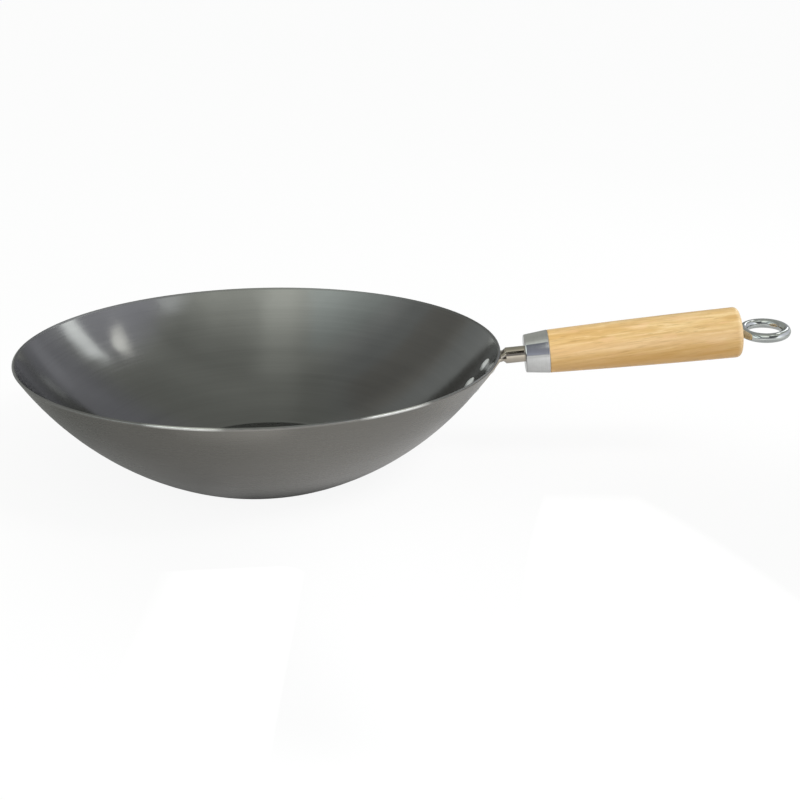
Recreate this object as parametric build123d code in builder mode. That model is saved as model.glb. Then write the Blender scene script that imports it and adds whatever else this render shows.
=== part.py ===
from build123d import *
from math import asin, atan2, cos, degrees, hypot, radians, sin, sqrt, tan
import os

os.makedirs("parts", exist_ok=True)

# A flat-bottomed carbon steel wok with one long handle. Millimetres and degrees.
# The origin is the centre of the flat underside, +Z is up and the handle points along +X.

# Bowl: one pressed sheet, a flat base and a wall that is a single arc in section
rim_diameter = 300.0
base_diameter = 130.0
bowl_depth = 76.0
sheet = 1.5
base_slope = 24.3
base_blend = 6.0
rim_break = 0.35

# Handle line: it leaves the rim's radius a little below the rim and climbs gently
handle_drop = 5.9
handle_tilt = 6.3

# Neck: a steel tube whose end is pressed flat and bent down to lie along the wall
neck_diameter = 10.1
neck_wall = 1.4
neck_in_grip = 30.0
tongue_width = 15.0
tongue_thickness = 4.0
tongue_bed = 0.3
tongue_bend = 1.6
tongue_past_rivet = 5.1
flat_straight = 0.3
round_length = 3.3
side_arc = 100.0
bore_stop = 1.5

# Rivets: two, one above the other, domed inside the bowl and peened outside
rivet_diameter = 5.0
rivet_head_diameter = 9.2
rivet_head_height = 1.5
rivet_tail_diameter = 8.0
rivet_tail_height = 1.6
rivet_edge = 0.35
rivet_drop = 15.0
rivet_spacing = 15.6
rivet_bed = 0.2

# Ferrule: a slightly conical metal cap, closed at the front but for the neck's hole
ferrule_gap = 15.4
ferrule_length = 15.0
ferrule_front_diameter = 23.8
ferrule_back_diameter = 27.2
ferrule_wall = 1.0
ferrule_edge = 1.0
ferrule_lip = 0.3

# Grip: turned wood, tapering, with a tenon in the ferrule and a bore right through.
# Its front stands a step inside the ferrule's back edge.
grip_length = 118.2
grip_front_step = 0.1
grip_back_diameter = 31.4
grip_crown = 0.35
grip_end_round = 2.8
grip_front_round = 0.5
tenon_end_gap = 0.5

# Threaded plug, brazed into the neck's open end, and the bolt's tip that passes through it
plug_length = 14.0
plug_chamfer = 0.5
thread_past_plug = 2.5
thread_chamfer = 0.6

# Hanging eye: a long bolt of round wire, its eye turned and bent by a few degrees.
# Its thread and the eye's short leg are a step smaller in radius than the wire.
wire_diameter = 5.9
thread_step = 0.5
shoulder_gap = 1.0
eye_leg_step = 0.2
eye_mean_diameter = 25.8
eye_turn = 5.1
eye_sag = 3.0
eye_seat_gap = 0.1

# Fits, radial
snug_clearance = 0.05
bolt_clearance = 0.25

# Overrun of every cut past the faces that it opens
overrun = 6.0

rim_radius = rim_diameter / 2
base_radius = base_diameter / 2
neck_radius = neck_diameter / 2
wire_radius = wire_diameter / 2
thread_radius = wire_radius - thread_step

# Wall arc: it leaves the base at base_slope and ends at the rim
chord = hypot(rim_radius - base_radius, bowl_depth)
chord_slope = degrees(atan2(bowl_depth, rim_radius - base_radius))
rim_slope = 2 * chord_slope - base_slope
wall_turn = rim_slope - base_slope
wall_radius = chord / (2 * sin(radians(wall_turn / 2)))
wall_centre = (
    base_radius - wall_radius * sin(radians(base_slope)),
    wall_radius * cos(radians(base_slope)),
)


def wall_slope(drop):
    """Slope of the wall, in degrees, at a distance down the wall from the rim."""
    return rim_slope - degrees(drop / wall_radius)


def wall_point(drop, out):
    """Point in the handle's plane, out from the bowl's outer face, down the wall by drop."""
    slope = radians(wall_slope(drop))
    reach = wall_radius + out
    return (wall_centre[0] + reach * sin(slope), wall_centre[1] - reach * cos(slope))


def wall_plane(drop):
    """Plane touching the bowl's outer face below the handle: x across the wall, z straight out."""
    x, z = wall_point(drop, 0)
    slope = radians(wall_slope(drop))
    return Plane(origin=(x, 0, z), x_dir=(0, 1, 0), z_dir=(sin(slope), 0, -cos(slope)))


def rivet_section_plane(drop):
    """Upright plane through a rivet's axis: x down the wall, y straight out of it."""
    x, z = wall_point(drop, 0)
    slope = radians(wall_slope(drop))
    return Plane(origin=(x, 0, z), x_dir=(-cos(slope), 0, -sin(slope)), z_dir=(0, -1, 0))


rivet_drops = {"upper": rivet_drop, "lower": rivet_drop + rivet_spacing}
rivet_hole_radius = rivet_diameter / 2 + snug_clearance

# Handle line, as a plane for the sections of what turns round it: x runs along the handle
tilt = radians(handle_tilt)
handle_plane = Plane(
    origin=(rim_radius, 0, bowl_depth - handle_drop),
    x_dir=(cos(tilt), 0, sin(tilt)),
    z_dir=(0, -1, 0),
)
handle_axis = Axis(handle_plane.origin, handle_plane.x_dir)


def across_handle(station):
    """Plane square to the handle line, at a distance along it from the rim's radius."""
    return Plane(
        origin=handle_plane.from_local_coords((station, 0, 0)),
        x_dir=(0, 1, 0),
        z_dir=handle_plane.x_dir,
    )


# Stations along the handle line, from the rim's radius
ferrule_start = ferrule_gap
grip_start = ferrule_start + ferrule_length
grip_end = grip_start + grip_length
neck_end = ferrule_start + neck_in_grip
plug_start = neck_end - plug_length
thread_end = plug_start - thread_past_plug
neck_bore_radius = neck_radius - neck_wall


def bowl_outer_arc():
    """Outer face of the wall in section, from the base's edge up to the rim."""
    return CenterArc(wall_centre, wall_radius, base_slope - 90, wall_turn)


# Bowl
inner_radius = wall_radius - sheet
inner_corner_x = wall_centre[0] + sqrt(inner_radius**2 - (wall_centre[1] - sheet) ** 2)
inner_corner_slope = degrees(asin((inner_corner_x - wall_centre[0]) / inner_radius))

with BuildPart() as wok_bowl:
    with BuildSketch(Plane.XZ) as bowl_section:
        with BuildLine():
            Line((0, 0), (base_radius, 0))
            outer_wall = bowl_outer_arc()
            inner_wall = CenterArc(
                wall_centre, inner_radius, inner_corner_slope - 90, rim_slope - inner_corner_slope
            )
            Line(outer_wall @ 1, inner_wall @ 1)
            Line(inner_wall @ 0, (0, sheet))
            Line((0, sheet), (0, 0))
        make_face()
        outer_corner = bowl_section.vertices().sort_by_distance((base_radius, 0))[0]
        fillet(outer_corner, radius=base_blend + sheet)
        inner_corner = bowl_section.vertices().sort_by_distance((inner_corner_x, sheet))[0]
        fillet(inner_corner, radius=base_blend)
        rim_corners = bowl_section.vertices().sort_by(Axis.Y)[-2:]
        fillet(rim_corners, radius=rim_break)
    revolve(axis=Axis.Z)
    for drop in rivet_drops.values():
        with BuildSketch(wall_plane(drop)):
            Circle(rivet_hole_radius)
        extrude(amount=sheet + overrun, both=True, mode=Mode.SUBTRACT)

wok_bowl.part.label = "wok_bowl"
export_step(wok_bowl.part, "parts/wok_bowl.step")

# The space that the bowl fills, hollow included, for pressing the neck's end to the wall
with BuildPart() as bowl_space:
    with BuildSketch(Plane.XZ):
        with BuildLine():
            Line((0, 0), (base_radius, 0))
            space_wall = bowl_outer_arc()
            Line(space_wall @ 1, (0, bowl_depth))
            Line((0, bowl_depth), (0, 0))
        make_face()
    revolve(axis=Axis.Z)

# Neck tube. Its flat end follows a line along the wall, then a sharp bend up to the handle line.
tongue_section = tongue_thickness + tongue_bed
tongue_middle = (tongue_thickness - tongue_bed) / 2
tongue_end_drop = rivet_drops["lower"] + tongue_past_rivet
tongue_round_drop = tongue_end_drop - tongue_width / 2
tongue_keep_length = tongue_round_drop + overrun
tongue_radius = wall_radius + tongue_middle
tongue_end_slope = wall_slope(tongue_end_drop)

# Where the handle line crosses the middle line of the tongue
origin_x = handle_plane.origin.X - wall_centre[0]
origin_z = handle_plane.origin.Z - wall_centre[1]
along = origin_x * cos(tilt) + origin_z * sin(tilt)
off = origin_x**2 + origin_z**2 - tongue_radius**2
crossing = sqrt(along**2 - off) - along
crossing_x = origin_x + crossing * cos(tilt)
crossing_z = origin_z + crossing * sin(tilt)
crossing_slope = degrees(atan2(crossing_x, -crossing_z))

# Where the bend ends on the handle line, and where the tube is still flat and then fully round
bend_radius = tongue_bend + tongue_section / 2
bend_turn = crossing_slope - handle_tilt
bend_end = crossing + bend_radius * tan(radians(bend_turn / 2))
flat_end = bend_end + flat_straight
round_start = flat_end + round_length

with BuildPart() as neck_tube:
    with BuildLine(Plane.XZ) as tongue_path:
        tongue_arc = CenterArc(
            wall_centre, tongue_radius, tongue_end_slope - 90, crossing_slope - tongue_end_slope
        )
        flat_point = across_handle(flat_end).origin
        Line(tongue_arc @ 1, (flat_point.X, flat_point.Z))
        bend = tongue_path.vertices().sort_by_distance(tongue_arc @ 1)[0]
        fillet(bend, radius=bend_radius)
    with BuildSketch(Plane(origin=tongue_path.line @ 0, x_dir=(0, 1, 0), z_dir=tongue_path.line % 0)):
        SlotOverall(tongue_width, tongue_section)
    sweep(path=tongue_path.line)

    # The lower end is a half circle as wide as the flat, a little past the lower rivet
    with BuildSketch(wall_plane(tongue_round_drop)):
        Circle(tongue_width / 2)
        with Locations((0, tongue_keep_length / 2)):
            Rectangle(tongue_width + overrun, tongue_keep_length)
    extrude(amount=tongue_thickness + overrun, both=True, mode=Mode.INTERSECT)

    # From flat to round
    with BuildSketch(across_handle(flat_end)):
        SlotOverall(tongue_width, tongue_section)
    with BuildSketch(across_handle(round_start)):
        with BuildLine():
            CenterArc((0, 0), neck_radius, -side_arc / 2, side_arc)
            CenterArc((0, 0), neck_radius, side_arc / 2, 180 - side_arc)
            CenterArc((0, 0), neck_radius, 180 - side_arc / 2, side_arc)
            CenterArc((0, 0), neck_radius, 180 + side_arc / 2, 180 - side_arc)
        make_face()
    loft()

    with BuildSketch(across_handle(round_start)):
        Circle(neck_radius)
    extrude(amount=neck_end - round_start)
    with BuildSketch(across_handle(neck_end)):
        Circle(neck_bore_radius)
    extrude(amount=round_start + bore_stop - neck_end, mode=Mode.SUBTRACT)

    # The flat end takes the wall's curve, and both rivets pass through it
    add(bowl_space.part, mode=Mode.SUBTRACT)
    for drop in rivet_drops.values():
        with BuildSketch(wall_plane(drop)):
            Circle(rivet_hole_radius)
        extrude(amount=tongue_thickness + sheet, both=True, mode=Mode.SUBTRACT)

neck_tube.part.label = "neck_tube"
export_step(neck_tube.part, "parts/neck_tube.step")


def dome(peak, half_width, height, turn):
    """Half of a spherical cap in section, from its peak on the axis out to its edge."""
    cap_radius = (half_width**2 + height**2) / (2 * height)
    sweep_angle = degrees(asin(half_width / cap_radius))
    return JernArc(start=(0, peak), tangent=(1, 0), radius=cap_radius, arc_size=turn * sweep_angle)


def make_rivet(drop):
    """One rivet: a low dome inside the bowl, a shank, and a peened tail on the neck's flat end."""
    plane = rivet_section_plane(drop)
    shank_radius = rivet_diameter / 2
    head_radius = rivet_head_diameter / 2
    tail_radius = rivet_tail_diameter / 2
    head_seat = rivet_bed - sheet
    tail_seat = tongue_thickness - rivet_bed
    with BuildPart() as rivet:
        with BuildSketch(plane):
            with BuildLine():
                head = dome(-sheet - rivet_head_height, head_radius, rivet_head_height - rivet_edge, 1)
                tail = dome(
                    tongue_thickness + rivet_tail_height, tail_radius, rivet_tail_height - rivet_edge, -1
                )
                Polyline(
                    head @ 1,
                    (head_radius, head_seat),
                    (shank_radius, head_seat),
                    (shank_radius, tail_seat),
                    (tail_radius, tail_seat),
                    tail @ 1,
                )
                Line(head @ 0, tail @ 0)
            make_face()
        revolve(axis=Axis(plane.origin, plane.y_dir))
        # Head and tail are formed against the sheet and the flat end, so they take their curves
        add(wok_bowl.part, mode=Mode.SUBTRACT)
        add(neck_tube.part, mode=Mode.SUBTRACT)
    return rivet


for place, drop in rivet_drops.items():
    rivet = make_rivet(drop)
    rivet.part.label = f"rivet_{place}"
    export_step(rivet.part, f"parts/rivet_{place}.step")

# Ferrule
neck_hole_radius = neck_radius + snug_clearance
ferrule_front_radius = ferrule_front_diameter / 2
ferrule_back_radius = ferrule_back_diameter / 2
ferrule_flare = (ferrule_back_radius - ferrule_front_radius) / ferrule_length
ferrule_floor = ferrule_start + ferrule_wall


def ferrule_inside(station):
    """Radius of the ferrule's inner cone at a station on the handle line."""
    return ferrule_front_radius + ferrule_flare * (station - ferrule_start) - ferrule_wall


with BuildPart() as ferrule:
    with BuildSketch(handle_plane) as ferrule_section:
        with BuildLine():
            Polyline(
                (ferrule_start, neck_hole_radius),
                (ferrule_start, ferrule_front_radius),
                (grip_start, ferrule_back_radius),
                (grip_start, ferrule_inside(grip_start)),
                (ferrule_floor, ferrule_inside(ferrule_floor)),
                (ferrule_floor, neck_hole_radius),
                close=True,
            )
        make_face()
        front_corner = ferrule_section.vertices().sort_by_distance((ferrule_start, ferrule_front_radius))[0]
        fillet(front_corner, radius=ferrule_edge)
        back_corner = ferrule_section.vertices().sort_by_distance((grip_start, ferrule_back_radius))[0]
        fillet(back_corner, radius=ferrule_lip)
    revolve(axis=handle_axis)

ferrule.part.label = "ferrule"
export_step(ferrule.part, "parts/ferrule.step")

# Grip
tenon_start = ferrule_floor + tenon_end_gap
grip_front_radius = ferrule_back_radius - grip_front_step
grip_back_radius = grip_back_diameter / 2
bolt_hole_radius = wire_radius + bolt_clearance
grip_middle = (grip_start + grip_end) / 2
crown_radius = (grip_front_radius + grip_back_radius) / 2 + grip_crown

with BuildPart() as grip:
    with BuildSketch(handle_plane) as grip_section:
        with BuildLine():
            Polyline(
                (tenon_start, neck_hole_radius),
                (tenon_start, ferrule_inside(tenon_start) - snug_clearance),
                (grip_start, ferrule_inside(grip_start) - snug_clearance),
                (grip_start, grip_front_radius),
            )
            ThreePointArc(
                (grip_start, grip_front_radius),
                (grip_middle, crown_radius),
                (grip_end, grip_back_radius),
            )
            Polyline(
                (grip_end, grip_back_radius),
                (grip_end, bolt_hole_radius),
                (neck_end, bolt_hole_radius),
                (neck_end, neck_hole_radius),
                (tenon_start, neck_hole_radius),
            )
        make_face()
        shoulder = grip_section.vertices().sort_by_distance((grip_start, grip_front_radius))[0]
        fillet(shoulder, radius=grip_front_round)
        end_corner = grip_section.vertices().sort_by_distance((grip_end, grip_back_radius))[0]
        fillet(end_corner, radius=grip_end_round)
    revolve(axis=handle_axis)

grip.part.label = "grip"
export_step(grip.part, "parts/grip.step")

# Threaded plug. Its thread is left plain.
plug_radius = neck_bore_radius - snug_clearance
plug_hole_radius = thread_radius + snug_clearance
plug_wall = plug_radius - plug_hole_radius

with BuildPart() as threaded_plug:
    with BuildSketch(handle_plane) as plug_section:
        with BuildLine():
            Polyline(
                (plug_start, plug_hole_radius),
                (plug_start, plug_radius),
                (neck_end, plug_radius),
                (neck_end, plug_hole_radius),
                close=True,
            )
        make_face()
        plug_corners = plug_section.vertices().sort_by(Axis.Y)[-2:]
        chamfer(plug_corners, length=min(plug_chamfer, plug_wall / 2))
    revolve(axis=handle_axis)

threaded_plug.part.label = "threaded_plug"
export_step(threaded_plug.part, "parts/threaded_plug.step")

# Eye bolt. The eye's own plane is turned about the handle line and sags where it leaves the wood.
shank_start = neck_end + shoulder_gap
leg_radius = wire_radius - eye_leg_step
eye_mean_radius = eye_mean_diameter / 2
leg_length = wire_radius + eye_seat_gap
eye_root = Plane(
    origin=handle_plane.from_local_coords((grip_end, 0, 0)),
    x_dir=handle_plane.x_dir,
    z_dir=handle_plane.y_dir,
).rotated((eye_turn, eye_sag, 0))
leg_foot = eye_root.from_local_coords((-leg_radius, 0, 0))
eye_middle = Plane(
    origin=eye_root.from_local_coords((leg_length + eye_mean_radius, 0, 0)),
    x_dir=eye_root.x_dir,
    z_dir=eye_root.z_dir,
)

with BuildPart() as eye_bolt:
    with BuildSketch(handle_plane) as shank_section:
        with BuildLine():
            Polyline(
                (thread_end, 0),
                (thread_end, thread_radius),
                (shank_start, thread_radius),
                (shank_start, wire_radius),
                (grip_end, wire_radius),
                (grip_end, 0),
                close=True,
            )
        make_face()
        thread_tip = shank_section.vertices().sort_by_distance((thread_end, thread_radius))[0]
        chamfer(thread_tip, length=thread_chamfer)
    revolve(axis=handle_axis)
    with BuildSketch(Plane(origin=leg_foot, x_dir=eye_root.y_dir, z_dir=eye_root.x_dir)):
        Circle(leg_radius)
    extrude(amount=leg_radius + leg_length)
    with Locations(eye_middle):
        Torus(eye_mean_radius, wire_radius)

eye_bolt.part.label = "eye_bolt"
export_step(eye_bolt.part, "parts/eye_bolt.step")
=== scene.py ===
"""Looks of the carbon steel wok: finishes of its eight pieces, floor, studio light and camera.

Places and lengths are in metres, in the shared frame: the origin is the centre of the flat
underside, +Z is up, the handle runs along +X and the camera looks from the side of -Y.
"""
import math

import bpy
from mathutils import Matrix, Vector

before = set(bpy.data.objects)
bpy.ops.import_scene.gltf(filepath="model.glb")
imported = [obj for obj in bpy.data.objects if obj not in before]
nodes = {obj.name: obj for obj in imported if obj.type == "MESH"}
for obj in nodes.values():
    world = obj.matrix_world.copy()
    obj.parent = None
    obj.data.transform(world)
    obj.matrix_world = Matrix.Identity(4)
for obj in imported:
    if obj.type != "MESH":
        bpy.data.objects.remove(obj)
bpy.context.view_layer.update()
scene = bpy.context.scene


def colour(red, green, blue):
    """A colour with full cover."""
    return (red, green, blue, 1.0)


# Sizes of the wok that its finishes follow
RIM_RADIUS = 0.150
BOWL_DEPTH = 0.076
HANDLE_TILT = math.radians(6.3)
HANDLE_FOOT_Z = 0.0701
GRIP_BACK = 0.1486
GRIP_END = RIM_RADIUS * math.cos(HANDLE_TILT) + HANDLE_FOOT_Z * math.sin(HANDLE_TILT) + GRIP_BACK

# The sheet's cut edge: heights at which its outer corner begins and is reached and at which the
# cut face is reached, then the radii at which the corner begins and is reached
CORNER_FOOT = BOWL_DEPTH - 0.0014
CORNER_TOP = BOWL_DEPTH - 0.0008
CUT_FACE = BOWL_DEPTH - 0.0003
CORNER_INNER = RIM_RADIUS - 0.0011
CORNER_OUTER = RIM_RADIUS - 0.0008

# Two stretches of the edge have a painted highlight: the directions of their middles, from above
# with the handle at 0, and the angles from there at which they start to fade and at which they end
RIM_HIGHLIGHT_DIRECTIONS = (math.radians(-99.0), math.radians(-54.0))
RIM_HIGHLIGHT_REACH = math.radians(2.5)
RIM_HIGHLIGHT_FADE = math.radians(10.0)

# Directions round the bowl are worked out as if nothing lay closer to its axis than this
AXIS_GUARD = 0.002

# The wood's grain leans: for each metre along the grip it moves this far to the camera, and up
GRAIN_DRIFT = 0.030
GRAIN_CLIMB = 0.062

# The clouds in a plating have this share of its tint
PLATING_CLOUD = 0.86

# Colours of the steel sheet: the plain one, and those that lie over it in turn
STEEL = colour(0.166, 0.167, 0.164)
STEEL_CLOUD = colour(0.180, 0.181, 0.177)
STEEL_BAND = colour(0.148, 0.149, 0.146)
STEEL_LINE = colour(0.225, 0.226, 0.222)
STEEL_OUTSIDE = colour(0.208, 0.197, 0.178)
# Pale bare steel of the cut edge's corner, which along two stretches is a painted highlight
STEEL_BARE_EDGE_AND_HIGHLIGHT = colour(0.80, 0.80, 0.78)

# Colours of the ferrule
FERRULE = colour(0.57, 0.57, 0.565)
FERRULE_CLOUD = colour(0.51, 0.51, 0.505)
FERRULE_LINE = colour(0.70, 0.71, 0.72)

# Colours of the wood: the plain one, and those that lie over it in turn
WOOD = colour(0.82, 0.585, 0.290)
WOOD_BROAD = colour(0.70, 0.440, 0.165)
WOOD_PATCH = colour(0.62, 0.360, 0.110)
WOOD_DARK_STREAK = colour(0.560, 0.320, 0.105)
WOOD_PALE_STREAK = colour(0.90, 0.690, 0.400)
WOOD_PORE = colour(0.42, 0.225, 0.065)
WOOD_FLECK = colour(0.58, 0.330, 0.130)
WOOD_BLUSH = colour(0.84, 0.520, 0.290)
WOOD_FIBRE = colour(0.92, 0.680, 0.370)
# The next three are painted light: shade below, a sheen along the middle, a highlight at the end
WOOD_PAINTED_SHADE = colour(0.62, 0.325, 0.080)
WOOD_PAINTED_SHEEN = colour(0.90, 0.610, 0.370)
WOOD_END_HIGHLIGHT = colour(0.93, 0.800, 0.560)

# The floor reaches this far each way. These shares of it are its own glow, the rest is lit card
FLOOR_REACH = 40.0
FLOOR_WHITE = colour(0.90, 0.90, 0.90)
GLOW_FOR_CAMERA = 0.91
GLOW_FOR_MIRRORS = 0.60

# Tints of the studio's sky, and the direction of a small pale spot in it
SKY_WARM = colour(0.985, 1.015, 0.935)
SKY_LEFT = colour(0.97, 1.01, 0.99)
SKY_GREEN = colour(0.950, 1.035, 1.000)
SKY_BROWN = colour(1.01, 0.995, 0.925)
SKY_COOL = colour(0.97, 0.98, 1.06)
SKY_SPOT = (0.45, 0.855, 0.265)
WHITE = colour(1.0, 1.0, 1.0)
BLACK = colour(0.0, 0.0, 0.0)

# The key lamp is square. A square metre of lamp takes this power to be as bright as a white of 1
KEY_PLACE = (0.91, -0.61, 1.14)
KEY_AIM = (0.20, 0.0, 0.05)
KEY_SIDE = 0.50
KEY_BRIGHTNESS = 14.5
POWER_OF_WHITE = 4.0

# The camera, fitted to the rim, the base and the handle in the photo
CAMERA_PLACE = (0.09658, -0.75282, 0.30148)
CAMERA_TURN = (math.radians(70.893), 0.0, math.radians(0.7))
LENS_LENGTH = 56.45
SENSOR_WIDTH = 36.0
NEAREST, FARTHEST = 0.01, 200.0

# Studio cards by name, with the words that light_card explains
CARDS = {
    "side_card": {
        "corners": [(0.692, 0.680, 0.330), (0.690, 0.510, 0.440),
                    (0.540, 0.480, 0.700), (0.535, 0.655, 0.580)],
        "level": 4.0, "tint": (0.97, 1.0, 1.0), "fade": (0.40, 0.0, 0.0, 0.12), "far": 0.62},
    "side_patch": {
        "corners": [(0.5830, 0.3980, 0.6560), (0.7200, 0.1600, 0.7150),
                    (0.5650, 0.2900, 0.7800), (0.5600, 0.3850, 0.7250)],
        "level": 3.1, "tint": (1.0, 1.0, 0.96), "fade": (0.10, 0.35, 0.15, 0.12)},
    "rim_glow": {
        "corners": [(0.560, -0.090, 0.650), (0.400, -0.340, 0.690),
                    (0.390, -0.230, 0.790), (0.480, -0.040, 0.750)],
        "level": 1.9, "tint": (0.97, 1.0, 1.0), "fade": (0.30, 0.55, 0.0, 0.60), "far": 0.7},
    "neck_card": {
        "corners": [(0.137, -0.30, 0.245), (0.200, -0.30, 0.245),
                    (0.200, -0.10, 0.300), (0.137, -0.10, 0.300)],
        "level": 0.06, "tint": (1.0, 0.9, 0.8), "far": 0.5},
    "ferrule_card": {
        "corners": [(0.092, -0.34, 0.075), (0.136, -0.34, 0.075),
                    (0.136, -0.085, 0.268), (0.092, -0.085, 0.268)],
        "level": 0.52, "tint": (0.92, 0.97, 1.15), "far": 0.4},
    "eye_card": {
        "corners": [(0.34, -0.30, 0.215), (0.54, -0.30, 0.215),
                    (0.54, -0.13, 0.30), (0.34, -0.13, 0.30)],
        "level": 0.16, "tint": (1.0, 1.05, 1.12), "far": 0.5},
}


class Finish:
    """A material under construction: adds nodes and joins them, with short calls."""

    def __init__(self, name):
        self.material = bpy.data.materials.new(name)
        self.material.use_nodes = True
        self.tree = self.material.node_tree
        self.tree.nodes.clear()
        self.out = self.tree.nodes.new("ShaderNodeOutputMaterial")
        self.shader = self.tree.nodes.new("ShaderNodeBsdfPrincipled")
        self.join(self.shader.outputs[0], self.out.inputs["Surface"])
        self.place = self.tree.nodes.new("ShaderNodeTexCoord").outputs["Object"]

    def join(self, source, target):
        """Links a socket, or writes a plain value into one."""
        if isinstance(source, bpy.types.NodeSocket):
            self.tree.links.new(source, target)
        else:
            target.default_value = source

    def set(self, **sockets):
        """Writes or links the shader's own sockets, named with underscores."""
        for name, value in sockets.items():
            self.join(value, self.shader.inputs[name.replace("_", " ")])

    def math(self, kind, first, second=0.0):
        """One sum on numbers: kind is a Math operation."""
        node = self.tree.nodes.new("ShaderNodeMath")
        node.operation = kind
        self.join(first, node.inputs[0])
        self.join(second, node.inputs[1])
        return node.outputs[0]

    def plus(self, total, *parts):
        """Numbers added up."""
        for part in parts:
            total = self.math("ADD", total, part)
        return total

    def times(self, total, *parts):
        """Numbers multiplied."""
        for part in parts:
            total = self.math("MULTIPLY", total, part)
        return total

    def minus(self, first, second):
        """The first number less the second."""
        return self.math("SUBTRACT", first, second)

    def larger(self, first, second):
        """The larger one of two numbers."""
        return self.math("MAXIMUM", first, second)

    def remap(self, value, low, high, to_low=0.0, to_high=1.0, kind="LINEAR"):
        """A number carried from one range to another, held at its ends."""
        node = self.tree.nodes.new("ShaderNodeMapRange")
        node.interpolation_type = kind
        for amount, socket in zip((value, low, high, to_low, to_high), node.inputs):
            self.join(amount, socket)
        return node.outputs[0]

    def ease(self, value, low, high, to_low=0.0, to_high=1.0):
        """The same, with a soft start and end."""
        return self.remap(value, low, high, to_low, to_high, "SMOOTHSTEP")

    def split(self, vector):
        """The three parts of a vector."""
        node = self.tree.nodes.new("ShaderNodeSeparateXYZ")
        self.join(vector, node.inputs[0])
        return tuple(node.outputs)

    def combine(self, x, y, z):
        """A vector from three numbers."""
        node = self.tree.nodes.new("ShaderNodeCombineXYZ")
        for value, socket in zip((x, y, z), node.inputs):
            self.join(value, socket)
        return node.outputs[0]

    def turned(self, vector, location, turn):
        """A vector turned and then moved."""
        node = self.tree.nodes.new("ShaderNodeMapping")
        self.join(vector, node.inputs["Vector"])
        node.inputs["Location"].default_value = location
        node.inputs["Rotation"].default_value = turn
        return node.outputs[0]

    def distance(self, vector, point=(0.0, 0.0, 0.0)):
        """How far a vector is from a point."""
        apart = self.tree.nodes.new("ShaderNodeVectorMath")
        apart.operation = "SUBTRACT"
        self.join(vector, apart.inputs[0])
        self.join(point, apart.inputs[1])
        length = self.tree.nodes.new("ShaderNodeVectorMath")
        length.operation = "LENGTH"
        self.join(apart.outputs["Vector"], length.inputs[0])
        return length.outputs["Value"]

    def scaled(self, vector, factor):
        """A vector or a colour times a number."""
        node = self.tree.nodes.new("ShaderNodeVectorMath")
        node.operation = "SCALE"
        self.join(vector, node.inputs[0])
        self.join(factor, node.inputs["Scale"])
        return node.outputs["Vector"]

    def noise(self, vector, scale, detail, rough=0.5, twist=0.0):
        """Smooth noise from 0 to 1."""
        node = self.tree.nodes.new("ShaderNodeTexNoise")
        self.join(vector, node.inputs["Vector"])
        node.inputs["Scale"].default_value = scale
        node.inputs["Detail"].default_value = detail
        node.inputs["Roughness"].default_value = rough
        node.inputs["Distortion"].default_value = twist
        return node.outputs["Fac"]

    def mix(self, share, first, second):
        """Two colours mixed, with the second one's share."""
        node = self.tree.nodes.new("ShaderNodeMix")
        node.data_type = "RGBA"
        self.join(share, node.inputs[0])
        self.join(first, node.inputs[6])
        self.join(second, node.inputs[7])
        return node.outputs[2]

    def over(self, base, *layers):
        """A colour with others laid over it in turn, each with its share first."""
        for share, layer in layers:
            base = self.mix(share, base, layer)
        return base

    def bump(self, height, strength, distance, before=None):
        """Bumps from a height, over other bumps if there are any."""
        node = self.tree.nodes.new("ShaderNodeBump")
        node.inputs["Distance"].default_value = distance
        self.join(strength, node.inputs["Strength"])
        self.join(height, node.inputs["Height"])
        if before is not None:
            self.join(before, node.inputs["Normal"])
        return node.outputs[0]

    def face_up(self):
        """How far the surface faces up, from -1 to 1."""
        node = self.tree.nodes.new("ShaderNodeNewGeometry")
        return self.split(node.outputs["Normal"])[2]

    def rays(self):
        """What kind of ray meets the surface or the sky, as sockets of 0 or 1."""
        return self.tree.nodes.new("ShaderNodeLightPath").outputs


class Studio(Finish):
    """The world under construction, with the same short calls as a finish."""

    def __init__(self, name):
        world = bpy.data.worlds.new(name)
        scene.world = world
        world.use_nodes = True
        self.tree = world.node_tree
        self.tree.nodes.clear()
        self.out = self.tree.nodes.new("ShaderNodeOutputWorld")
        self.shader = self.tree.nodes.new("ShaderNodeBackground")
        self.join(self.shader.outputs[0], self.out.inputs["Surface"])
        self.place = self.tree.nodes.new("ShaderNodeTexCoord").outputs["Generated"]


def handle_frame(finish):
    """Place in the handle's own directions: x along it, y across, z up from its centre line."""
    lift = RIM_RADIUS * math.sin(HANDLE_TILT) - HANDLE_FOOT_Z * math.cos(HANDLE_TILT)
    return finish.turned(finish.place, (0.0, 0.0, lift), (0.0, HANDLE_TILT, 0.0))


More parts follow.
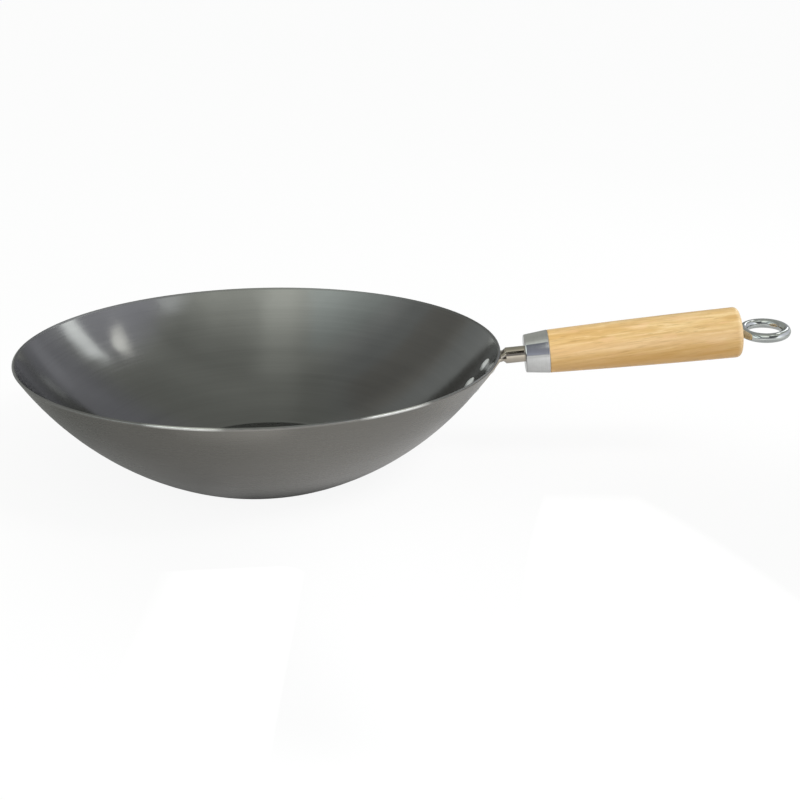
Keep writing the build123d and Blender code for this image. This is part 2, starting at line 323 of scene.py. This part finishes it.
def make_carbon_steel():
    """Dark oiled sheet with polish lines round the bowl, and a paler cut edge with painted
    highlights.
    """
    f = Finish("carbon_steel_oiled")
    x, y, z = f.split(f.place)
    radius = f.math("SQRT", f.plus(f.times(x, x), f.times(y, y)))
    from_axis = f.larger(radius, AXIS_GUARD)
    around_x, around_y = f.math("DIVIDE", x, from_axis), f.math("DIVIDE", y, from_axis)
    climb = f.plus(radius, z)
    inside = f.remap(f.face_up(), -0.05, 0.05)

    def turned_noise(around, across, detail, rough):
        """Noise drawn out round the bowl: its waves round it, and its waves in a metre of wall."""
        drawn = f.combine(f.times(around_x, around), f.times(around_y, around),
                          f.times(climb, across))
        return f.noise(drawn, 1.0, detail, rough)

    lines = turned_noise(around=1.2, across=900.0, detail=4.0, rough=0.6)
    bands = turned_noise(around=0.6, across=110.0, detail=2.0, rough=0.5)
    cloud = f.noise(f.place, scale=16.0, detail=4.0, rough=0.55)
    waves = f.noise(f.place, scale=9.0, detail=1.0)

    # The edge's outer corner is a little pale all round as bare steel, but not beside the handle,
    # and along two stretches it is painted pale as a highlight
    corner = f.times(f.remap(z, CORNER_FOOT, CORNER_TOP),
                     f.remap(radius, CORNER_INNER, CORNER_OUTER))
    bare_edge_and_highlight = f.remap(around_x, 0.64, 0.76, 0.12, 0.0)
    for angle in RIM_HIGHLIGHT_DIRECTIONS:
        near = f.plus(f.times(around_x, math.cos(angle)), f.times(around_y, math.sin(angle)))
        bare_edge_and_highlight = f.larger(bare_edge_and_highlight, f.ease(near, math.cos(RIM_HIGHLIGHT_FADE), math.cos(RIM_HIGHLIGHT_REACH)))
    base = f.over(STEEL,
                  (f.remap(cloud, 0.3, 0.7), STEEL_CLOUD),
                  (f.remap(bands, 0.35, 0.65, 0.0, 0.35), STEEL_BAND),
                  (f.remap(lines, 0.4, 0.75, 0.0, 0.25), STEEL_LINE),
                  (f.remap(inside, 0.0, 1.0, 0.8, 0.0), STEEL_OUTSIDE),
                  (f.times(corner, bare_edge_and_highlight), STEEL_BARE_EDGE_AND_HIGHLIGHT))

    # The inside is the smoother side, and the cut face is rough except where the edge is painted
    # pale
    worn = f.times(f.remap(z, CORNER_TOP, CUT_FACE), f.minus(1.0, bare_edge_and_highlight))
    rough = f.plus(f.remap(inside, 0.0, 1.0, 0.26, 0.13),
                   f.remap(cloud, 0.3, 0.7, -0.015, 0.02),
                   f.remap(lines, 0.3, 0.7, -0.02, 0.025),
                   f.times(worn, 0.25))
    normal = f.bump(lines, strength=f.remap(inside, 0.0, 1.0, 0.03, 0.20), distance=0.00004)
    normal = f.bump(waves, strength=0.25, distance=0.0006, before=normal)
    f.set(Base_Color=base, Roughness=rough, Normal=normal, Metallic=1.0)
    return f.material


def make_plating(name, tint, rough_low, rough_high, pitting, bare=1.0):
    """Bright metal plating: thin cloudy polish with faint pits.

    Bare is the share that shines as metal. The rest is dull and as pale as the tint.
    """
    f = Finish(name)
    handle = handle_frame(f)
    cloud = f.noise(handle, scale=90.0, detail=4.0, rough=0.6)
    pits = f.noise(handle, scale=1500.0, detail=2.0)
    cloud_tint = [PLATING_CLOUD * part for part in tint]
    base = f.mix(f.remap(cloud, 0.3, 0.7), colour(*tint), colour(*cloud_tint))
    rough = f.remap(cloud, 0.3, 0.7, rough_low, rough_high)
    normal = f.bump(pits, pitting, distance=0.00002)
    f.set(Base_Color=base, Roughness=rough, Normal=normal, Metallic=bare)
    return f.material


def make_ferrule_metal():
    """Spun sheet cap: fine turning lines run round the handle."""
    f = Finish("ferrule_spun_steel")
    x, y, z = f.split(handle_frame(f))
    drawn = f.combine(f.times(x, 2600.0), f.times(y, 30.0), f.times(z, 30.0))
    turning = f.noise(drawn, scale=1.0, detail=3.0)
    cloud = f.noise(f.place, scale=140.0, detail=4.0, rough=0.6)
    base = f.over(FERRULE,
                  (f.remap(cloud, 0.3, 0.7), FERRULE_CLOUD),
                  (f.remap(turning, 0.45, 0.8, 0.0, 0.3), FERRULE_LINE))
    rough = f.plus(f.remap(cloud, 0.3, 0.7, 0.09, 0.14),
                   f.remap(turning, 0.3, 0.7, -0.02, 0.03))
    normal = f.bump(turning, strength=0.12, distance=0.00003)
    f.set(Base_Color=base, Roughness=rough, Normal=normal, Metallic=1.0)
    return f.material


def make_lacquered_wood():
    """Pale turned wood under clear lacquer: soft leaning streaks, blotches, flecks and fibres."""
    f = Finish("lacquered_pale_wood")
    x, y, z = f.split(handle_frame(f))
    lean_y = f.plus(y, f.times(x, GRAIN_DRIFT))
    lean_z = f.plus(z, f.times(x, -GRAIN_CLIMB))

    def grain(along, across, detail, rough, twist=0.0):
        """Noise drawn out along the grain: waves in a metre, along it and across it."""
        drawn = f.combine(f.times(x, along), f.times(lean_y, across), f.times(lean_z, across))
        return f.noise(drawn, 1.0, detail, rough, twist)

    patch = grain(along=16.0, across=75.0, detail=2.0, rough=0.5, twist=0.4)
    broad = grain(along=17.0, across=230.0, detail=2.0, rough=0.5, twist=0.6)
    streak = grain(along=34.0, across=620.0, detail=2.0, rough=0.55, twist=0.5)
    fibre = grain(along=130.0, across=2600.0, detail=2.0, rough=0.6)
    pores = grain(along=85.0, across=1500.0, detail=1.0, rough=0.5)
    flecks = grain(along=210.0, across=1050.0, detail=2.0, rough=0.6, twist=0.3)
    blush = grain(along=60.0, across=190.0, detail=1.0, rough=0.5, twist=0.8)

    # Painted light on the grip: painted shade below, a painted sheen, redder and paler, along its
    # middle, and a painted highlight that makes its back end pale
    painted_shade_below = f.ease(z, -0.012, 0.010, 1.0, 0.0)
    # Painted sheen: a paler, redder band along the grip just above its centre line
    painted_sheen = f.times(f.ease(z, -0.002, 0.003), f.ease(z, 0.004, 0.009, 1.0, 0.0))
    # Painted highlight: the grip's back end is made paler
    painted_end_highlight = f.ease(x, GRIP_END - 0.0040, GRIP_END - 0.0015, 0.0, 0.20)
    base = f.over(WOOD,
                  (f.ease(broad, 0.34, 0.66), WOOD_BROAD),
                  (f.ease(patch, 0.50, 0.68, 0.0, 0.60), WOOD_PATCH),
                  (f.ease(streak, 0.50, 0.70, 0.0, 0.58), WOOD_DARK_STREAK),
                  (f.ease(streak, 0.30, 0.46, 0.50, 0.0), WOOD_PALE_STREAK),
                  (f.remap(pores, 0.60, 0.72, 0.0, 0.55), WOOD_PORE),
                  (f.ease(flecks, 0.56, 0.70, 0.0, 0.30), WOOD_FLECK),
                  (f.ease(blush, 0.56, 0.72, 0.0, 0.35), WOOD_BLUSH),
                  (f.remap(fibre, 0.35, 0.75, 0.0, 0.15), WOOD_FIBRE),
                  (f.times(painted_shade_below, 0.75), WOOD_PAINTED_SHADE),
                  (f.times(painted_sheen, 0.30), WOOD_PAINTED_SHEEN),
                  (painted_end_highlight, WOOD_END_HIGHLIGHT))
    height = f.plus(f.times(streak, -0.6), f.times(fibre, 0.3))
    f.set(Base_Color=base, Roughness=f.remap(fibre, 0.3, 0.7, 0.42, 0.5), Metallic=0.0,
          Normal=f.bump(height, strength=0.12, distance=0.00008), Specular_IOR_Level=0.25,
          Coat_Weight=0.45, Coat_Roughness=0.14, Coat_IOR=1.5)
    return f.material


def dress(name, material):
    """Puts a finish into every slot of a CAD node."""
    node = nodes[name]
    if not node.material_slots:
        node.data.materials.append(material)
    for place in node.material_slots:
        place.material = material


def dress_all():
    """Gives each of the eight pieces its finish."""
    dress("wok_bowl", make_carbon_steel())
    dress("neck_tube", make_plating(
        "neck_nickel_plating", (0.46, 0.415, 0.35), rough_low=0.08, rough_high=0.13, pitting=0.10))
    rivet_metal = make_plating(
        "rivet_bright_metal", (0.90, 0.91, 0.91), rough_low=0.25, rough_high=0.35, pitting=0.25,
        bare=0.62)
    dress("rivet_upper", rivet_metal)
    dress("rivet_lower", rivet_metal)
    dress("ferrule", make_ferrule_metal())
    dress("grip", make_lacquered_wood())
    dress("threaded_plug", make_plating(
        "plug_turned_brass", (0.78, 0.60, 0.28), rough_low=0.25, rough_high=0.35, pitting=0.15))
    dress("eye_bolt", make_plating(
        "eye_chrome_plating", (0.50, 0.52, 0.51), rough_low=0.04, rough_high=0.08, pitting=0.05))


def flat_sheet(name, corners):
    """A flat four-cornered object for the stage."""
    mesh = bpy.data.meshes.new(name)
    mesh.from_pydata(corners, [], [(0, 1, 2, 3)])
    sheet = bpy.data.objects.new(name, mesh)
    scene.collection.objects.link(sheet)
    return sheet


def make_floor():
    """A wide flat floor: lit card with its own glow, for the camera and, by place, for mirrors."""
    reach = FLOOR_REACH
    floor = flat_sheet("floor", [(-reach, -reach, 0), (reach, -reach, 0),
                                 (reach, reach, 0), (-reach, reach, 0)])
    f = Finish("floor_white_card")
    f.set(Base_Color=FLOOR_WHITE, Roughness=0.9)
    x, y = f.split(f.place)[:2]
    from_middle = f.distance(f.combine(x, y, 0.0))

    # Painted light and shade in the glow: to the right it gets brighter, most of all under the
    # handle's front, and then darker again
    level = f.plus(f.remap(x, -0.12, 0.05, 0.30, 0.64), f.remap(x, 0.145, 0.175, 0.0, 0.38))
    level = f.minus(level, f.remap(x, 0.23, 0.30, 0.0, 0.34))
    # By the base the wok's shadow is painted in, darkest on the right; past the left rim, painted
    # dark
    level = f.times(level,
                    f.remap(from_middle, 0.0665, 0.085, f.remap(x, -0.02, 0.0, 0.60, 0.12), 1.0),
                    f.remap(from_middle, 0.090, 0.110, f.remap(x, -0.03, -0.01, 0.78, 1.0), 1.0),
                    f.remap(x, -0.16, -0.11, 0.55, 1.0))
    # Painted full light before the wok, and beside it, under the handle, painted light darkening
    # back
    before = f.times(f.ease(x, -0.07, -0.045), f.ease(x, 0.025, 0.055, 1.0, 0.0),
                     f.remap(y, -0.160, -0.142, 1.15, 0.0))
    painted_light_under_handle = f.plus(f.remap(y, -0.22, -0.06, 0.50, 0.0), f.remap(y, -0.06, 0.10, 0.0, -0.50))
    painted_light_under_handle = f.times(painted_light_under_handle, f.ease(x, 0.130, 0.150))
    level = f.times(level, f.plus(1.0, before, painted_light_under_handle))

    seen = f.rays()
    for_camera = seen["Is Camera Ray"]
    for_mirrors = f.larger(seen["Is Glossy Ray"], seen["Is Transmission Ray"])
    glow = f.tree.nodes.new("ShaderNodeEmission")
    blend = f.tree.nodes.new("ShaderNodeMixShader")
    f.join(f.larger(for_camera, level), glow.inputs["Strength"])
    share = f.larger(f.times(for_camera, GLOW_FOR_CAMERA), f.times(for_mirrors, GLOW_FOR_MIRRORS))
    f.join(share, blend.inputs[0])
    f.join(f.shader.outputs[0], blend.inputs[1])
    f.join(glow.outputs[0], blend.inputs[2])
    f.join(blend.outputs[0], f.out.inputs["Surface"])
    floor.data.materials.append(f.material)


def make_world():
    """A grey studio: white at the horizon, pale high in front, mid grey overhead and behind.

    The parts of a direction are x to the right, y to the back and z up. Each window of them is
    mirrored by one place of the bowl's wall or of the handle, which is why there are so many.
    """
    f = Studio("studio")
    x, y, z = f.split(f.place)
    front = f.times(y, -1.0)

    # The sky gets paler to the front in three steps, and loses that again low in front
    rise = f.plus(f.ease(front, -0.05, 0.20, 0.0, 0.26), f.ease(front, 0.20, 0.50, 0.0, 0.52),
                  f.ease(front, 0.40, 0.68, 0.0, 0.58))
    rise = f.times(rise, f.ease(front, 0.70, 0.86, 1.0, 0.0))
    level = f.plus(rise, f.ease(y, 0.10, 0.50, 0.53, 0.46))
    # It is darker in front on the right, a little darker at the back left and darker low in front,
    # and bright at the far right
    right = f.times(f.ease(x, -0.05, 0.14, 0.0, 0.28), f.ease(front, -0.05, 0.10))
    level = f.times(level, f.minus(1.0, right))
    left = f.times(f.ease(x, -0.55, -0.35, 1.0, 0.0), f.ease(y, 0.05, 0.25, 0.0, 0.03))
    level = f.minus(f.plus(level, f.ease(x, 0.52, 0.80, 0.0, 0.45)), left)
    level = f.times(level, f.ease(front, 0.80, 0.92, 1.0, 0.70))

    # Soft patches that are a share paler or darker than the rest
    dip = f.times(f.ease(x, -0.28, -0.14, 1.0, 0.0), f.ease(x, -0.76, -0.62),
                  f.ease(y, 0.36, 0.50, 0.14, 0.0))
    lift_left = f.times(f.ease(x, -0.58, -0.46, 1.0, 0.0), f.ease(y, 0.42, 0.62, 0.0, 0.24))
    lift_right = f.times(f.ease(x, 0.36, 0.50), f.ease(y, 0.60, 0.84, 0.0, 0.26))
    lift_front = f.times(f.ease(x, 0.25, 0.40), f.ease(front, 0.08, 0.22, 0.0, 0.13))
    overhead = f.times(f.ease(y, -0.18, -0.08, 0.0, 0.07), f.ease(y, 0.14, 0.26, 1.0, 0.0),
                       f.ease(x, -0.30, -0.15))
    green = f.times(f.ease(x, -0.36, -0.22, 1.0, 0.0), f.ease(front, 0.12, 0.28))
    brown = f.times(f.ease(x, -0.54, -0.42, 1.0, 0.0), f.ease(y, 0.10, 0.22),
                    f.ease(y, 0.50, 0.66, 1.0, 0.0))
    spot = f.ease(f.distance(f.place, SKY_SPOT), 0.03, 0.13, 0.24, 0.0)
    paler = f.plus(lift_left, lift_right, lift_front, overhead, f.times(green, 0.10), spot)
    darker = f.plus(dip, f.times(brown, 0.09))
    level = f.times(level, f.plus(1.0, f.minus(paler, darker)))

    # The horizon is white, but for a darker stretch of it behind the wok, right of its middle
    level = f.larger(level, f.ease(z, 0.02, 0.12, 0.95, 0.0))
    far_end = f.times(f.ease(x, -0.05, 0.05, 0.0, 0.50), f.ease(x, 0.20, 0.40, 1.0, 0.2),
                      f.ease(y, 0.86, 0.93))
    level = f.times(level, f.minus(1.0, far_end))

    # It is cool at the far right, low in front and at the back right, and warm elsewhere
    cool = f.larger(f.ease(x, 0.58, 0.74), f.ease(front, 0.75, 0.90))
    cool = f.larger(cool, f.times(f.ease(y, 0.45, 0.75), f.remap(x, 0.10, 0.30)))
    tint = f.over(SKY_WARM,
                  (f.ease(x, -0.60, -0.25, 1.0, 0.0), SKY_LEFT),
                  (green, SKY_GREEN),
                  (brown, SKY_BROWN),
                  (f.times(cool, f.remap(z, 0.02, 0.12)), SKY_COOL))
    sky = f.mix(f.rays()["Is Camera Ray"], f.scaled(tint, level), WHITE)
    f.join(sky, f.shader.inputs["Color"])


def make_key():
    """The key: a square soft lamp that mirrors don't see."""
    lamp = bpy.data.lights.new("key", "AREA")
    lamp.shape = "RECTANGLE"
    lamp.size, lamp.size_y = KEY_SIDE, KEY_SIDE
    lamp.energy = POWER_OF_WHITE * KEY_SIDE * KEY_SIDE * KEY_BRIGHTNESS
    holder = bpy.data.objects.new("key", lamp)
    holder.location = KEY_PLACE
    facing = Vector(KEY_AIM) - Vector(KEY_PLACE)
    holder.rotation_euler = facing.to_track_quat("-Z", "Y").to_euler()
    holder.visible_glossy = False
    scene.collection.objects.link(holder)


def light_card(name, corners, level, tint, fade=(0.0, 0.0, 0.0, 0.0), far=1.0):
    """A flat four-cornered studio card that shines by its level and that no camera sees.

    Corners run round the card from its first edge. Fade is the share of the card over which its
    light rises from the left, right, first and last edge, and far is the level's share at the last.
    """
    card = flat_sheet(name, corners)
    spread = card.data.uv_layers.new(name="spread")
    spread.data.foreach_set("uv", (0.0, 0.0, 1.0, 0.0, 1.0, 1.0, 0.0, 1.0))
    f = Finish(name + "_light")
    place = f.tree.nodes.new("ShaderNodeUVMap")
    place.uv_map = "spread"
    across, along = f.split(place.outputs["UV"])[:2]
    left, right, first, last = fade
    cover = 1.0
    for way, edge, width in ((across, 0.0, left), (across, 1.0, -right),
                             (along, 0.0, first), (along, 1.0, -last)):
        if width:
            cover = f.times(cover, f.ease(way, edge, edge + width))
    f.set(Base_Color=BLACK, Roughness=1.0, Specular_IOR_Level=0.0, Alpha=cover,
          Emission_Color=colour(*tint),
          Emission_Strength=f.remap(along, 0.0, 1.0, level, level * far))
    card.data.materials.append(f.material)
    card.visible_camera = False


def make_camera():
    """The camera of the photo."""
    lens = bpy.data.cameras.new("photo_view")
    lens.lens, lens.sensor_width, lens.sensor_fit = LENS_LENGTH, SENSOR_WIDTH, "HORIZONTAL"
    lens.clip_start, lens.clip_end = NEAREST, FARTHEST
    camera = bpy.data.objects.new("photo_view", lens)
    camera.location = CAMERA_PLACE
    camera.rotation_euler = CAMERA_TURN
    scene.collection.objects.link(camera)
    scene.camera = camera


dress_all()
make_floor()
make_world()
make_key()
for card_name, card_words in CARDS.items():
    light_card(card_name, **card_words)
make_camera()
scene.view_settings.view_transform = "Standard"
